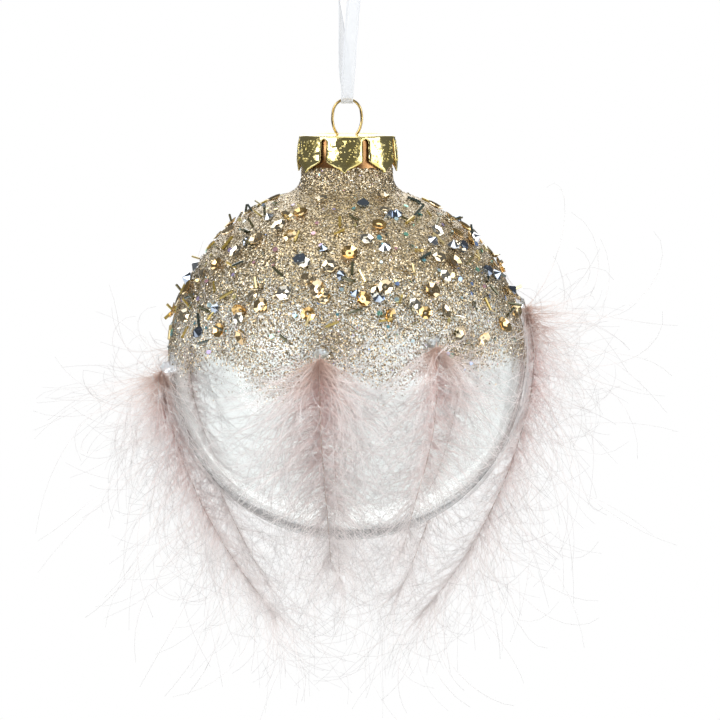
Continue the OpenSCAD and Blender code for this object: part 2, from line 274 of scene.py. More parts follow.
def pattern(nodes, links, kind, scale, **values):
    """A texture node on the piece's own coordinates, in turns per metre."""
    place = nodes.new("ShaderNodeTexCoord")
    texture = nodes.new(kind)
    set_inputs(texture, Scale=scale, **values)
    links.new(place.outputs["Object"], texture.inputs["Vector"])
    return texture


def ramp(nodes, links, source, *stops):
    """A colour ramp through (position, colour) stops, read from a socket."""
    node = nodes.new("ShaderNodeValToRGB")
    bar = node.color_ramp.elements
    while len(bar) < len(stops):
        bar.new(0.5)
    for element, (position, colour) in zip(bar, stops):
        element.position = position
        element.color = (*colour, 1) if len(colour) == 3 else colour
    links.new(source, node.inputs["Fac"])
    return node.outputs["Color"]


def grey(value):
    return (value, value, value)


def bump(nodes, links, surface, source, strength, height):
    node = nodes.new("ShaderNodeBump")
    set_inputs(node, Strength=strength, Distance=height)
    links.new(source, node.inputs["Height"])
    links.new(node.outputs["Normal"], surface.inputs["Normal"])


def tint_source(nodes):
    node = nodes.new("ShaderNodeAttribute")
    node.attribute_name = "tint"
    return node.outputs["Color"]


def maths(nodes, links, operation, *values, kind="ShaderNodeMath"):
    """The result of a maths node over sockets and plain values."""
    node = nodes.new(kind)
    node.operation = operation
    for socket, value in zip(node.inputs, values):
        if isinstance(value, bpy.types.NodeSocket):
            links.new(value, socket)
        else:
            socket.default_value = value
    return node.outputs[0]


def mottled(name, colour, metallic, roughness, grain, shades, relief=None):
    """A finish whose colour wanders between two shades.

    grain is the noise's scale and detail, and relief its bump's strength and height.
    """
    material, nodes, links, surface = finish(name, colour, metallic, roughness)
    wander = pattern(nodes, links, NOISE, grain[0], Detail=grain[1]).outputs["Fac"]
    links.new(ramp(nodes, links, wander, *shades), surface.inputs["Base Color"])
    if relief is not None:
        bump(nodes, links, surface, wander, *relief)
    return material


def blown_glass():
    material, nodes, links, surface = finish("clear_blown_glass", (0.97, 0.99, 0.985), 0, 0.01,
                                             Transmission_Weight=1, IOR=1.5)
    waves = pattern(nodes, links, NOISE, 45, Detail=1.0)
    bump(nodes, links, surface, waves.outputs["Fac"], 0.06, 0.4 * MM)
    body = nodes.new("ShaderNodeVolumeAbsorption")
    set_inputs(body, Color=(0.55, 0.66, 0.62, 1), Density=9)
    links.new(body.outputs["Volume"], nodes["Material Output"].inputs["Volume"])
    return material


def stamped_gold():
    material, nodes, links, surface = finish("stamped_gold", (0.83, 0.63, 0.17), 1, 0.13)
    patches = pattern(nodes, links, NOISE, 260, Detail=3.0)
    colour = ramp(nodes, links, patches.outputs["Fac"], (0.3, (0.72, 0.6, 0.2)),
                  (0.6, (0.9, 0.79, 0.38)))
    links.new(colour, surface.inputs["Base Color"])
    worn = ramp(nodes, links, patches.outputs["Fac"], (0.3, grey(0.24)), (0.7, grey(0.08)))
    links.new(worn, surface.inputs["Roughness"])
    hammer = pattern(nodes, links, CELLS, 900)
    bump(nodes, links, surface, hammer.outputs["Distance"], 0.35, 0.12 * MM)
    return material


def drawn_wire():
    return mottled("gold_wire", (0.6, 0.43, 0.17), 1, 0.2, (700, 2.0),
                   ((0.35, (0.42, 0.27, 0.08)), (0.65, (0.78, 0.6, 0.27))), (0.2, 0.04 * MM))


# The neck's copper-brown, darker in patches, is partly its own coating and partly painted shade and
# painted reflection of the gold petals over it.
def neck_lacquer_painted_shade():
    return mottled("copper_lacquer_painted_shade", (0.5, 0.26, 0.1), 0.8, 0.25, (320, 3.0),
                   ((0.35, (0.2, 0.09, 0.03)), (0.62, (0.46, 0.26, 0.11))), (0.4, 0.1 * MM))


def horn():
    return mottled("quill_horn", (0.45, 0.34, 0.3), 0, 0.4, (400, 3.0),
                   ((0.3, (0.36, 0.25, 0.21)), (0.7, (0.56, 0.44, 0.39))), (0.2, 0.05 * MM))


def pale_floor():
    return mottled("pale_floor", (0.93, 0.93, 0.93), 0, 0.8, (60, 2.0),
                   ((0.3, grey(0.9)), (0.7, grey(0.93))))


def facet_normals(nodes, links, surface, scale, lean):
    """Tilts each cell of a pattern its own way, as loose flakes lie."""
    cells = pattern(nodes, links, CELLS, scale)
    normal = nodes.new("ShaderNodeNewGeometry").outputs["Normal"]
    kind = "ShaderNodeVectorMath"
    centred = maths(nodes, links, "SUBTRACT", cells.outputs["Color"], grey(0.5), kind=kind)
    leaning = maths(nodes, links, "MULTIPLY_ADD", centred, grey(lean), normal, kind=kind)
    facet = maths(nodes, links, "NORMALIZE", leaning, kind=kind)
    links.new(facet, surface.inputs["Normal"])
    return cells


def glitter_film():
    """Fine glitter whose cover thins out towards the coat's lower edge."""
    material, nodes, links, surface = finish("champagne_glitter_film", (0.6, 0.47, 0.28), 0.85, 0.3)
    cells = facet_normals(nodes, links, surface, 3600, 1.1)
    split = nodes.new("ShaderNodeSeparateColor")
    links.new(cells.outputs["Color"], split.inputs["Color"])
    colour = ramp(nodes, links, split.outputs["Red"], (0.0, (0.2, 0.15, 0.08)),
                  (0.35, (0.5, 0.39, 0.22)), (0.75, (0.72, 0.6, 0.4)), (1.0, (0.9, 0.85, 0.74)))
    links.new(colour, surface.inputs["Base Color"])
    place = nodes.new("ShaderNodeTexCoord")
    upright = nodes.new("ShaderNodeSeparateXYZ")
    links.new(place.outputs["Object"], upright.inputs["Vector"])
    cover = nodes.new("ShaderNodeMapRange")
    set_inputs(cover, From_Min=BALL_MID[2] + FILM_BARE, From_Max=BALL_MID[2] + FILM_FULL,
               To_Min=0.0, To_Max=FILM_COVER)
    links.new(upright.outputs["Z"], cover.inputs["Value"])
    patches = pattern(nodes, links, NOISE, 55, Detail=2.0)
    uneven = maths(nodes, links, "ADD", cover.outputs["Result"], patches.outputs["Fac"])
    share = maths(nodes, links, "SUBTRACT", uneven, 0.5)
    opaque = maths(nodes, links, "LESS_THAN", split.outputs["Green"], share)
    links.new(opaque, surface.inputs["Alpha"])
    return material


def tinted(name, metallic, roughness, coat=0.0):
    """A material that takes each small piece's own colour."""
    material, nodes, links, surface = finish(name, grey(0.8), metallic, roughness,
                                             Coat_Weight=coat, Coat_Roughness=0.03)
    links.new(tint_source(nodes), surface.inputs["Base Color"])
    dust = pattern(nodes, links, NOISE, 2500, Detail=1.0)
    low, high = max(roughness - 0.06, 0.0), roughness + 0.08
    worn = ramp(nodes, links, dust.outputs["Fac"], (0.3, grey(low)), (0.7, grey(high)))
    links.new(worn, surface.inputs["Roughness"])
    return material


def organza():
    """Sheer white weave, closer at the two selvedges."""
    material, nodes, links, surface = finish("white_organza", (0.66, 0.68, 0.71), 0, 0.45,
                                             Sheen_Weight=0.3)
    own = nodes.new("ShaderNodeUVMap")
    own.uv_map = "weave"
    split = nodes.new("ShaderNodeSeparateXYZ")
    links.new(own.outputs["UV"], split.inputs["Vector"])
    threads = nodes.new("ShaderNodeTexWave")
    set_inputs(threads, Scale=9, Distortion=0.6)
    links.new(own.outputs["UV"], threads.inputs["Vector"])
    edge = maths(nodes, links, "ABSOLUTE", split.outputs["X"])
    selvedge = ramp(nodes, links, edge, (0.78, grey(0.5)), (0.88, grey(0.95)))
    weave = ramp(nodes, links, threads.outputs["Fac"], (0.2, grey(0.75)), (0.8, grey(1.0)))
    links.new(maths(nodes, links, "MULTIPLY", selvedge, weave), surface.inputs["Alpha"])
    bump(nodes, links, surface, threads.outputs["Fac"], 0.3, 0.05 * MM)
    return material


def down(name, through):
    """Downy fibre: its own tint, part of the light passing through it."""
    material, nodes, links, surface = finish(name, (0.9, 0.85, 0.84), 0, 0.6, Sheen_Weight=0.2)
    tint = tint_source(nodes)
    links.new(tint, surface.inputs["Base Color"])
    glow = nodes.new("ShaderNodeBsdfTranslucent")
    links.new(tint, glow.inputs["Color"])
    mix = nodes.new("ShaderNodeMixShader")
    mix.inputs["Fac"].default_value = through
    links.new(surface.outputs["BSDF"], mix.inputs[1])
    links.new(glow.outputs["BSDF"], mix.inputs[2])
    links.new(mix.outputs["Shader"], nodes["Material Output"].inputs["Surface"])
    return material


def clear_glue():
    material, nodes, links, surface = finish("clear_glue", (0.86, 0.9, 0.94), 0, 0.28,
                                             Transmission_Weight=0.92, IOR=1.42)
    waves = pattern(nodes, links, NOISE, 500, Detail=2.0)
    bump(nodes, links, surface, waves.outputs["Fac"], 0.4, 0.2 * MM)
    return material


# ---- camera, light and floor

SKY_ON_MATT = 0.75
SKY_IN_MIRRORS = 0.14
VIEW_WIDTH = 161.8 * MM
VIEW_DISTANCE = 1.2
VIEW_ELEVATION = 4.5
VIEW_AIM = Vector((2.9 * MM, 0, BALL_MID[2] + 0.45 * MM))
# Name, azimuth from the front towards +X, elevation, distance, size and power
SOFTBOXES = (
    ("softbox_left", -50, 25, 0.9, 0.55, 5),
    ("softbox_right", 62, 10, 0.9, 0.7, 5),
    ("softbox_top", 10, 78, 0.8, 0.6, 2.4),
    ("softbox_back", 180, 30, 1.0, 0.9, 5),
)
FLOOR_DROP = 0.2


def set_facing(thing, target, azimuth, elevation, distance):
    """Puts a camera or lamp at a bearing in degrees from a place, looking back at it."""
    a, e = math.radians(azimuth), math.radians(elevation)
    away = Vector((math.sin(a) * math.cos(e), -math.cos(a) * math.cos(e), math.sin(e)))
    thing.location = target + away * distance
    thing.rotation_euler = (-away).to_track_quat("-Z", "Y").to_euler()


def add_camera():
    camera = in_scene("camera", bpy.data.cameras.new("camera"))
    set_facing(camera, VIEW_AIM, 0, VIEW_ELEVATION, VIEW_DISTANCE)
    camera.data.lens = camera.data.sensor_width * VIEW_DISTANCE / VIEW_WIDTH
    camera.data.clip_start = 0.01
    bpy.context.scene.camera = camera


def add_softbox(name, azimuth, elevation, distance, size, power):
    """A large square lamp that faces the ball."""
    lamp = bpy.data.lights.new(name, "AREA")
    lamp.size, lamp.energy = size, power
    set_facing(in_scene(name, lamp), Vector(BALL_MID), azimuth, elevation, distance)


def add_sky():
    """White behind the ornament, dimmer in reflections, so that metal has dark to mirror."""
    world = bpy.data.worlds.new("studio")
    bpy.context.scene.world = world
    world.use_nodes = True
    nodes, links = world.node_tree.nodes, world.node_tree.links
    sky = nodes["Background"]
    path = nodes.new("ShaderNodeLightPath")
    level = None
    for ray, strength in (("Is Diffuse Ray", SKY_ON_MATT), ("Is Glossy Ray", SKY_IN_MIRRORS),
                          ("Is Transmission Ray", 1.0)):
        step = nodes.new("ShaderNodeMapRange")
        set_inputs(step, To_Min=1.0, To_Max=strength)
        links.new(path.outputs[ray], step.inputs["Value"])
        if level is not None:
            links.new(level, step.inputs["To Min"])
        level = step.outputs["Result"]
    links.new(level, sky.inputs["Strength"])
    sky.inputs["Color"].default_value = (1, 1, 1, 1)


def add_floor():
    bm = bmesh.new()
    bmesh.ops.create_circle(bm, cap_ends=True, segments=96, radius=1.0)
    bmesh.ops.translate(bm, verts=bm.verts, vec=(0, 0, cad_box[0].z - FLOOR_DROP))
    floor = in_scene("floor", mesh_of("floor", bm, False))
    floor.data.materials.append(pale_floor())


add_camera()
for softbox in SOFTBOXES:
    add_softbox(*softbox)
add_sky()
add_floor()
bpy.context.scene.view_settings.view_transform = "Standard"

# ---- ribbon

# The ribbon's route in millimetres: x, y, z, its width's turn about +Z in degrees, and the width
RING_TOP = -31
FOLD_R = 0.9
STRAND_FRONT = [
    (0.9, -0.5, 1.0, 0, 3), (1.7, -0.9, -1.5, 0, 3), (1.9, -1.1, -5, 0, 3),
    (1.5, -1.2, -9, 0, 3), (1.1, -1.2, -14, 0, 3), (0.7, -1.2, -19, 0, 3),
    (0.4, -1.1, -24, 0, 3), (0.1, -1.0, -28, 0, 2.9),
]
STRAND_BACK = [
    (-0.2, 1.0, -28, 15, 2.5), (-0.5, 1.1, -24, 30, 3), (-0.9, 1.2, -19, 50, 3),
    (-1.3, 1.2, -14, 70, 3), (-1.8, 1.1, -9, 85, 3), (-2.0, 0.9, -5, 80, 3),
    (-1.8, 0.7, -1.5, 60, 3), (-0.9, 0.4, 1.0, 30, 3),
]
FOLD = [
    (0, FOLD_R * math.cos(a), RING_TOP + FOLD_R * math.sin(a), 0, 2.7)
    for a in np.radians(np.linspace(180, 360, 7))
]
RIBBON_T = 0.12 * MM
RIBBON_RINGS = 240
# Wraps of the knot: lean in degrees, radius and width in millimetres
WRAPS = ((25, 1.5, 2.2), (-30, 1.7, 2.0), (85, 1.35, 1.8))
WHITE = organza()


def band_shape(columns, rings):
    """A closed flat upright band, 2 wide and 2 thick, from z 0 to z 1, cut in a fine grid."""
    bm = bmesh.new()
    bmesh.ops.create_cube(bm, size=2)
    bmesh.ops.scale(bm, vec=(1, 1, 0.5), verts=bm.verts)
    bmesh.ops.translate(bm, verts=bm.verts, vec=(0, 0, 0.5))
    for axis, cuts in ((0, columns - 1), (2, rings - 2)):
        edges = [e for e in bm.edges if abs(e.verts[0].co[axis] - e.verts[1].co[axis]) > 0.5]
        bmesh.ops.subdivide_edges(bm, edges=edges, cuts=cuts, use_grid_fill=True)
    return triangles_of(bm)


def ribbon_band(name, line, turns, widths):
    """A length of ribbon along a line, with its weave's own coordinates."""
    rings = len(line)
    shape = band_shape(8, rings)
    a = np.radians(turns)
    flat = np.stack([np.cos(a), np.sin(a), 0 * a], -1)
    faces, points, ring = bent(shape, line[None], widths[None] / 2, flat[None],
                               RIBBON_T / widths.max())
    mesh = repeated(name, faces, points, smooth=True)
    run = np.concatenate([[0], np.cumsum(np.linalg.norm(np.diff(line, axis=0), axis=1))])
    weave = np.stack([shape[0][:, 0], run[ring] / MM], -1)
    corners = np.empty(len(mesh.loops), int)
    mesh.loops.foreach_get("vertex_index", corners)
    mesh.uv_layers.new(name="weave").data.foreach_set("uv", weave[corners].ravel())
    return new_piece(name, mesh, "ribbon", WHITE)


def add_ribbon():
    route = smooth_line(STRAND_FRONT + FOLD + STRAND_BACK, RIBBON_RINGS)
    line, turns, widths = route[:, :3] * MM, route[:, 3], route[:, 4] * MM
    loop = ribbon_band("ribbon_loop_organza", line, turns, widths)
    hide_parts("ribbon_loop")
    knot = add_knot()


def add_knot():
    """Three crossed wraps round the strands' ends, and two short tails."""
    mid = np.array([0, 0, (knot_low.z + 2.4 * MM) / 2 + 0.35 * MM])
    a = np.linspace(0, 2 * math.pi, 49)
    bands = []
    for lean, radius, width in WRAPS:
        tip = math.radians(lean)
        wrap = np.stack([0.9 * np.cos(a) * math.cos(tip), np.sin(a), np.cos(a) * math.sin(tip)],
                        -1)
        bands.append((mid + wrap * radius * MM, 90 - lean + 0 * a, width * MM + 0 * a))
    for side in (-1, 1):
        tail = smooth_line([(0.3 * side, 0, 2.2), (1.2 * side, -0.2, 3.8), (1.9 * side, 0.2, 5.4),
                            (2.6 * side, 0.6, 6.8)], 49)
        bands.append((tail * MM, 8 * side + 25 * a / 6, 2.6 * MM + 0 * a))
    parts = [ribbon_band(f"knot_part_{i}", *band) for i, band in enumerate(bands)]
    bpy.ops.object.select_all(action="DESELECT")
    for part in parts:
        part.select_set(True)
    knot = parts[0]
    bpy.context.view_layer.objects.active = knot
    bpy.ops.object.join()
    knot.name = "ribbon_knot_organza"
    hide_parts("ribbon_knot")
    return knot


add_ribbon()

# ---- wire hanger

# Distance of the straight feet from the axis and softness of their bend, in millimetres
LEG_X = 2.2
LEG_BEND = 0.7
DRAWN_WIRE = drawn_wire()


def wire_piece(name, line):
    """A length of the hanger's round wire along a line in its own flat plane."""
    radii = np.full((1, len(line)), WIRE_R)
    flat = np.array([0.0, 1.0, 0.0])
    faces, points, _ = bent(tube_shape(12, len(line)), line[None], radii, flat)
    wire = new_piece(name, repeated(name, faces, points, smooth=True), "hanger", DRAWN_WIRE)
    return wire


def add_ring():
    """The hanging ring and the two straight feet that go down through the cap."""
    top, foot, bend = ring_high.z / MM - 0.3, cap_high.z / MM, ring_low.z / MM
    right = [(LEG_X, bend), (LEG_X, foot - 0.9), (LEG_X, foot + 0.1), (2.62, foot + 0.8),
             (3.05, foot + 2.0), (3.28, foot + 3.5), (3.05, top - 2.3), (2.35, top - 1.0),
             (1.25, top - 0.2)]
    outline = right + [(0, top)] + [(-x, z) for x, z in reversed(right)]
    ring = wire_piece("hanger_wire", smooth_line([(x, 0, z) for x, z in outline], 220) * MM)
    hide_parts("hanger_ring")


def add_legs():
    """The splayed ends inside the neck."""
    reach, bend = legs_high.x / MM - 0.25, ring_low.z / MM
    depth = np.linspace(0, bend - legs_low.z / MM - 0.2, 40)
    away = np.hypot(depth, LEG_BEND) - LEG_BEND
    away = LEG_X + away * (reach - LEG_X) / away[-1]
    for side, hand in ((-1, "left"), (1, "right")):
        line = np.stack([side * away, 0 * depth, bend - depth], -1) * MM
        leg = wire_piece(f"spring_leg_{hand}", line)
        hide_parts("spring_legs")
        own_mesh(leg)


add_ring()
add_legs()

# ---- crown cap

SLOT_HALF = 0.75 * MM
SLOT_TOP = 0.5 * MM
PETAL_POINT = 2.6 * MM
PETAL_FLARE = 0.6 * MM
PETAL_BULGE = 0.15 * MM
PETAL_CROWN = 0.3 * MM
PETAL_SINK = 0.12 * MM
PETAL_DENT = 0.07 * MM
PETAL_SAG = 0.14 * MM
# Rim and plate, inwards: share of the cap's radius, and height above its top in millimetres
RIM_STEPS = ((0.985, 0.16), (0.965, 0.08))
PLATE_STEPS = ((0.94, -0.19), (0.8, -0.21), (0.5, -0.17), (0.2, -0.15))
# Arrowhead: across the petal, depth and lift in millimetres, for its three corners and its peak
ARROWHEAD = ((-0.13, 1.0, 0.02), (0.13, 1.0, 0.02), (0, 2.5, 0.02), (0, 1.45, 0.3))
GOLD = stamped_gold()


def crown_r(share):
    """The cap's radius at a share of its height, from its top."""
    return CAP_R + PETAL_FLARE * share + PETAL_BULGE * math.sin(math.pi * share)


def petal_half_angle(depth):
    """Half the angle that a petal fills at a depth below the cap's top."""
    radius = crown_r(depth / CAP_H)
    full = math.pi / PETALS
    straight = full - SLOT_HALF / radius
    shoulder = CAP_H - PETAL_POINT
    if depth <= SLOT_TOP:
        return full
    if depth < SLOT_TOP + SLOT_HALF:
        up = (SLOT_TOP + SLOT_HALF - depth) / SLOT_HALF
        return full - SLOT_HALF * math.sqrt(1 - up * up) / radius
    if depth < shoulder:
        return straight
    share = (depth - shoulder) / PETAL_POINT
    return straight * (0.06 + 0.94 * (0.5 * (1 - share) + 0.25 * (1 + math.cos(math.pi * share))))


def crown_place(petal, across, depth, lift=0.0):
    """A point of a petal: across from -1 to 1, a depth below the cap's top, lifted outwards."""
    share = depth / CAP_H
    middle = math.radians(PETAL_TURN - 90) + 2 * math.pi * petal / PETALS
    angle = middle + across * petal_half_angle(depth)
    ease = min(1, 2.2 * share)
    dome = PETAL_CROWN * (1 - across * across) * ease - PETAL_SINK * ease
    dent = PETAL_DENT * noise.noise(Vector((6 * math.cos(angle), 6 * math.sin(angle), 9 * share)))
    radius = crown_r(share) - PETAL_SINK + dome + dent + lift
    sag = PETAL_SAG * (1 - math.cos(PETALS * (angle - middle))) * (1 - share) ** 3
    return Vector((radius * math.cos(angle), radius * math.sin(angle), CAP_TOP - depth - sag))


def add_cap():
    """Seven bent petals under a dished top plate with a rolled rim, one stamped sheet."""
    bm = bmesh.new()
    for petal in range(PETALS):
        panel = bmesh.ops.create_grid(bm, x_segments=18, y_segments=30, size=1)["verts"]
        for v in panel:
            down_share = (1 - v.co.y) / 2
            v.co = crown_place(petal, v.co.x, CAP_H * (0.04 + 0.96 * down_share**0.9))
    bmesh.ops.remove_doubles(bm, verts=bm.verts, dist=0.02 * MM)
    bmesh.ops.recalc_face_normals(bm, faces=bm.faces)
    rim_floor = CAP_TOP - 0.66 * MM
    rim = [e for e in bm.edges if e.is_boundary and min(v.co.z for v in e.verts) > rim_floor]
    for scale, rise in RIM_STEPS + PLATE_STEPS:
        ring = bmesh.ops.extrude_edge_only(bm, edges=rim)["geom"]
        rim = [g for g in ring if isinstance(g, bmesh.types.BMEdge)]
        for v in (g for g in ring if isinstance(g, bmesh.types.BMVert)):
            away = Vector((v.co.x, v.co.y, 0)).normalized() * (CAP_R * scale)
            level = CAP_TOP + rise * MM
            if (scale, rise) in RIM_STEPS:
                level = (v.co.z + level) / 2
            v.co = Vector((away.x, away.y, level))
    bmesh.ops.contextual_create(bm, geom=rim)
    bmesh.ops.recalc_face_normals(bm, faces=bm.faces)
    plate = min(bm.faces, key=lambda f: f.calc_center_median().xy.length)
    if plate.normal.z < 0:
        bmesh.ops.reverse_faces(bm, faces=bm.faces)
    bmesh.ops.solidify(bm, geom=bm.faces, thickness=CAP_T)
    cap = new_piece("crown_cap", mesh_of("crown_cap", bm), "cap", GOLD)
    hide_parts("cap")


def add_cap_dots():
    """Raised dots and a small arrowhead stamped on each petal."""
    bm = bmesh.new()
    bmesh.ops.create_uvsphere(bm, u_segments=8, v_segments=6, radius=1)
    bmesh.ops.scale(bm, vec=(1, 1, 0.6), verts=bm.verts)
    dot = triangles_of(bm)
    frames, places, sizes = [], [], []
    draws = np.random.default_rng(5)
    spots = [(side * (0.12 + 0.075 * k), 5.6 - 0.52 * k) for side in (-1, 1) for k in range(9)]
    for petal in range(PETALS):
        loose = list(zip(draws.uniform(-0.85, 0.85, 30), draws.uniform(1.0, 6.0, 30)))
        for i, (across, depth) in enumerate(spots + loose):
            a = crown_place(petal, across, depth * MM)
            b = crown_place(petal, across + 0.05, depth * MM)
            c = crown_place(petal, across, (depth + 0.2) * MM)
            out = (c - a).cross(b - a).normalized()
            side = (b - a).normalized()
            frames.append(np.array([side, out.cross(side), out]).T)
            places.append(a)
            sizes.append((0.15 if i < len(spots) else draws.uniform(0.12, 0.3)) * MM)
    faces, points = placed(dot, np.array(frames), np.array(places), np.array(sizes))
    dots = new_piece("cap_dots", repeated("cap_dots", faces, points, smooth=True), "cap", GOLD)
    bm = bmesh.new()
    for petal in range(PETALS):
        corners = [crown_place(petal, x, z * MM, lift * MM) for x, z, lift in ARROWHEAD]
        inner = [crown_place(petal, x, z * MM, -0.1 * MM) for x, z, _ in ARROWHEAD[:3]]
        verts = [bm.verts.new(p) for p in corners + inner]
        bmesh.ops.convex_hull(bm, input=verts)
    marks = new_piece("cap_arrowheads", mesh_of("cap_arrowheads", bm, False), "cap", GOLD)


add_cap()
add_cap_dots()

# ---- glass


def ball_profile(inset, top):
    """Half outline of the glass, from the bottom pole up to the rim, drawn inwards by an inset."""
    radius, bore, fillet = BALL_R - inset, NECK_R - inset, NECK_FILLET + inset
    fillet_x, fillet_z = fillet_middle(NECK_FILLET)
    meet = math.atan2(fillet_z, fillet_x)
    bottom = [(radius * math.cos(a), radius * math.sin(a))
              for a in np.linspace(-math.pi / 2, meet, 90)]
    turn = [(fillet_x - fillet * math.cos(a), fillet_z - fillet * math.sin(a))
            for a in np.linspace(meet, 0, 14)]
    return bottom[1:] + turn[1:] + [(bore, z) for z in np.linspace(fillet_z, top, 6)[1:]]


def spun(outline, segments=160):
    """A surface turned about the ball's axis from an outline of (radius, height)."""
    bm = bmesh.new()
    spin_round(bm, [(r, z + BALL_MID[2]) for r, z in outline], False, segments)
    bmesh.ops.remove_doubles(bm, verts=bm.verts, dist=0.005 * MM)
    return bm


def add_glass():
    """The blown ball and neck: an outer and an inner skin joined by a fire-rounded rim."""
    outer = [(0, -BALL_R)] + ball_profile(0, NECK_RISE - 0.3 * MM)
    inner = [(0, -BALL_R + GLASS_T)] + ball_profile(GLASS_T, NECK_RISE - 0.3 * MM)
    inner = [(r, z + FOOT_T * max(0, -z / BALL_R - 0.35) ** 2) for r, z in inner]
    rim = [(NECK_R - 0.15 * MM, NECK_RISE - 0.08 * MM), (NECK_R - 0.5 * MM, NECK_RISE),
           (NECK_R - 0.85 * MM, NECK_RISE - 0.08 * MM)]
    bm = spun(outer + rim + inner[::-1])
    ball = new_piece("blown_ball", mesh_of("blown_ball", bm), "ball", blown_glass())
    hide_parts("glass_ball")


# A thin sheet round the neck under the cap. Its colour is partly the neck's coating and partly
# painted shade and painted reflection from the petals.
def add_neck_lacquer_painted_shade():
    low, high = 42.5 * MM, NECK_RISE - 0.4 * MM
    outline = [(NECK_R + 0.02 * MM, low), (NECK_R + 0.1 * MM, low + 0.3 * MM),
               (NECK_R + 0.1 * MM, high - 0.2 * MM), (NECK_R + 0.02 * MM, high)]
    bm = spun(outline + outline[:1], 120)
    film = new_piece("neck_lacquer_painted_shade", mesh_of("neck_lacquer_painted_shade", bm), "ball", neck_lacquer_painted_shade())


add_glass()
add_neck_lacquer_painted_shade()

# ---- glitter coat

CHAMPAGNE = np.array([
    (0.62, 0.49, 0.32), (0.72, 0.62, 0.46), (0.42, 0.32, 0.18), (0.28, 0.21, 0.12),
    (0.85, 0.8, 0.7), (0.52, 0.42, 0.27),
])
COLOURED = np.array([
    (0.2, 0.52, 0.6), (0.25, 0.38, 0.7), (0.75, 0.42, 0.5), (0.8, 0.7, 0.3), (0.5, 0.42, 0.7),
    (0.25, 0.6, 0.45), (0.6, 0.8, 0.85),
])
# Runs of the coat's lower edge: azimuth in degrees, depth in millimetres, half width in degrees
RUNS = ((-24, 8, 11), (12, 5.5, 12), (-62, 3, 9), (55, 2, 10), (100, 4, 12), (140, 6, 13),
        (185, 4, 10), (-140, 7, 12), (-100, 3, 10))
GRAINS = 80000
COAT_TOP = 43.6
STRAY_LOW = -13
TRIM_LOW = 14
GRAIN_SIZE = (0.13, 0.3)
GRAIN_LIFT = (0.05, 0.3)
COLOURED_SHARE = 0.012


def coat_edge(azimuth):
    """Height of the coat's lower edge above the ball's middle, in metres."""
    degrees = np.degrees(azimuth)
    edge = 3.4 + 0.5 * np.sin(7 * azimuth) + 0.4 * np.sin(13 * azimuth + 1)
    for centre, depth, half in RUNS:
        gap = (degrees - centre + 180) % 360 - 180
        edge = edge - depth * np.exp(-((gap / half) ** 2))
    return edge * MM


def add_film():
    """The skin of glue and fine glitter under the loose grains."""
    bm = bmesh.new()
    grid = bmesh.ops.create_grid(bm, x_segments=180, y_segments=60, size=1)["verts"]
    azimuth = np.array([math.pi * v.co.x for v in grid])
    share = np.array([(v.co.y + 1) / 2 for v in grid])
    low = coat_edge(azimuth) + 1.5 * MM
    height = low + (44 * MM - low) * share
    lift = np.full(len(grid), 0.06 * MM)
    _, places = on_ball(azimuth, height, lift, 0.0, np.random.default_rng(3))
    for v, place in zip(grid, places):
        v.co = place
    bmesh.ops.remove_doubles(bm, verts=bm.verts, dist=0.01 * MM)
    bmesh.ops.recalc_face_normals(bm, faces=bm.faces)
    bmesh.ops.solidify(bm, geom=bm.faces, thickness=-0.1 * MM)
    film = new_piece("glitter_film", mesh_of("glitter_film", bm), "ball", glitter_film())
    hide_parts("glitter_coat")


def grain_places(count, draws):
    """Where loose grains lie: even over the coat, thinning out past its edge."""
    azimuth = draws.uniform(-math.pi, math.pi, 3 * count)
    height = draws.uniform(STRAY_LOW * MM, COAT_TOP * MM, 3 * count)
    past = (coat_edge(azimuth) - height) / MM
    thick = 1 - 0.55 * np.clip((height / MM - TRIM_LOW) / 8, 0, 1)
    chance = thick / (1 + np.exp(1.5 * (past - 0.6))) + 0.02 * np.exp(-np.abs(past) / 5)
    kept = draws.random(3 * count) < chance
    return azimuth[kept][:count], height[kept][:count]


def add_grains():
    """Loose grains in two pieces, above and below the lower edge of the dense trim."""
    flake = cone_shape(3, 0, 0.3)
    draws = np.random.default_rng(21)
    azimuth, height = grain_places(GRAINS, draws)
    count = len(azimuth)
    lift = draws.uniform(*GRAIN_LIFT, count) * MM
    frames, places = on_ball(azimuth, height, lift, 0.26, draws)
    sizes = draws.uniform(*GRAIN_SIZE, count) * MM
    tints = CHAMPAGNE[draws.integers(0, len(CHAMPAGNE), count)]
    tints = tints * draws.uniform(0.8, 1.1, (count, 1))
    loud = draws.random(count) < COLOURED_SHARE
    tints[loud] = COLOURED[draws.integers(0, len(COLOURED), loud.sum())]
    finish_grain = tinted("glitter_grain", 1.0, 0.2)
    upper = height > TRIM_LOW * MM
    for name, part in (("glitter_grains_upper", upper), ("glitter_grains_lower", ~upper)):
        faces, points = placed(flake, frames[part], places[part], sizes[part])
        mesh = repeated(name, faces, points, tints[part])
        new_piece(name, mesh, "ball", finish_grain)


add_film()
add_grains()

# ---- trim

# How high the middles of the trim sit over the glass
SEAT = 0.45 * MM
LOOSE_SEAT = 0.5 * MM


def islands(node):
    """Frames and seats on the ball for each separate solid of a CAD node."""
    bm = bmesh.new()
    bm.from_mesh(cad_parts[node].data)
    bmesh.ops.remove_doubles(bm, verts=bm.verts, dist=0.001 * MM)
    seen, middles, longest = set(), [], []
    for start in bm.verts:
        if start in seen:
            continue
        group, stack = [], [start]
        seen.add(start)
        while stack:
            v = stack.pop()
            group.append(v.co)
            for e in v.link_edges:
                other = e.other_vert(v)
                if other not in seen:
                    seen.add(other)
                    stack.append(other)
        points = np.array(group)
        centred = points - (points.max(0) + points.min(0)) / 2
        middles.append(points.mean(0))
        longest.append(np.linalg.svd(centred, full_matrices=False)[2][0])
    bm.free()
    out = unit(np.array(middles) - BALL_MID)
    longest = np.array(longest)
    side = unit(longest - (longest * out).sum(1, keepdims=True) * out)
    frames = np.stack([side, np.cross(out, side), out], -1)
    return frames, BALL_MID + out * (BALL_R + SEAT)


